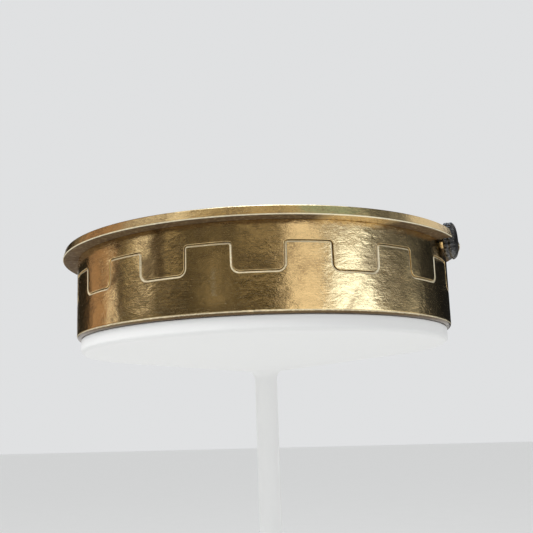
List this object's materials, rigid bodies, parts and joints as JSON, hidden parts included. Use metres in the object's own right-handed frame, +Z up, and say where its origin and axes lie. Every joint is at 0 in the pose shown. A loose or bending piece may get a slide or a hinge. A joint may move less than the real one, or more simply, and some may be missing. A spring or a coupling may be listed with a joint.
{
  "type": "row counter",
  "caption": "Round brass pocket row counter: castellated case, flanged bezel, domed crystal over a two-hand dial, and a side crown that turns the train.",
  "frame": {"origin": "centre of the case back's outer face", "axes": "+Z up through the dial, +X out along the crown, +Y to the dial's 0"},
  "size_m": [0.0473, 0.0474, 0.0136],
  "materials": {
    "case_brass": "worn, lightly brushed polish",
    "gilt": "gilt, satin",
    "steel": "polished",
    "blued_steel": "blued, polished",
    "crown_steel": "darkened, fluted",
    "crystal": "clear",
    "gasket": "matte",
    "dial": "cream enamel"
  },
  "bodies": {
    "case": {"case_cup": "case_brass", "case_ring": "case_brass", "bezel": "case_brass", "case_lid": "case_brass", "crown_tube": "case_brass", "lid_screw_1": "steel", "lid_screw_2": "steel", "lid_screw_3": "steel", "lid_screw_4": "steel", "crystal": "crystal", "crystal_gasket": "gasket", "dial": "dial", "movement_ring": "gilt", "main_plate": "gilt", "bridge": "gilt", "pillar_1": "gilt", "pillar_2": "gilt", "pillar_3": "gilt", "stem_block": "gilt", "click_post": "gilt", "bridge_screw_1": "blued_steel", "bridge_screw_2": "blued_steel", "bridge_screw_3": "blued_steel", "click_screw": "blued_steel", "click_spring": "steel"},
    "units": {"centre_arbor": "steel", "centre_pinion": "steel", "star_wheel": "steel", "contrate_wheel": "gilt", "units_hand": "blued_steel"},
    "carry": {"carry_wheel": "gilt", "carry_arbor": "steel"},
    "tens": {"tens_wheel": "gilt", "tens_arbor": "steel", "tens_hand": "blued_steel"},
    "winder": {"crown": "crown_steel", "stem": "steel", "stem_pinion": "steel"}
  },
  "joints": [
    {"name": "units_spin", "type": "hinge", "parent": "case", "child": "units", "pos_m": [0, 0, 0.0064], "axis": [0, 0, 1], "continuous": true},
    {"name": "carry_spin", "type": "hinge", "parent": "case", "child": "carry", "pos_m": [-0.00279, -0.00415, 0.005], "axis": [0, 0, 1], "continuous": true},
    {"name": "tens_spin", "type": "hinge", "parent": "case", "child": "tens", "pos_m": [0, -0.009, 0.005], "axis": [0, 0, 1], "continuous": true},
    {"name": "crown_spin", "type": "hinge", "parent": "case", "child": "winder", "pos_m": [0.0232, 0, 0.0093], "axis": [1, 0, 0], "continuous": true}
  ],
  "couplings": [
    {"joint": "carry_spin", "follows": "units_spin", "ratio": -0.25},
    {"joint": "tens_spin", "follows": "units_spin", "ratio": 0.1},
    {"joint": "crown_spin", "follows": "units_spin", "ratio": 5}
  ]
}
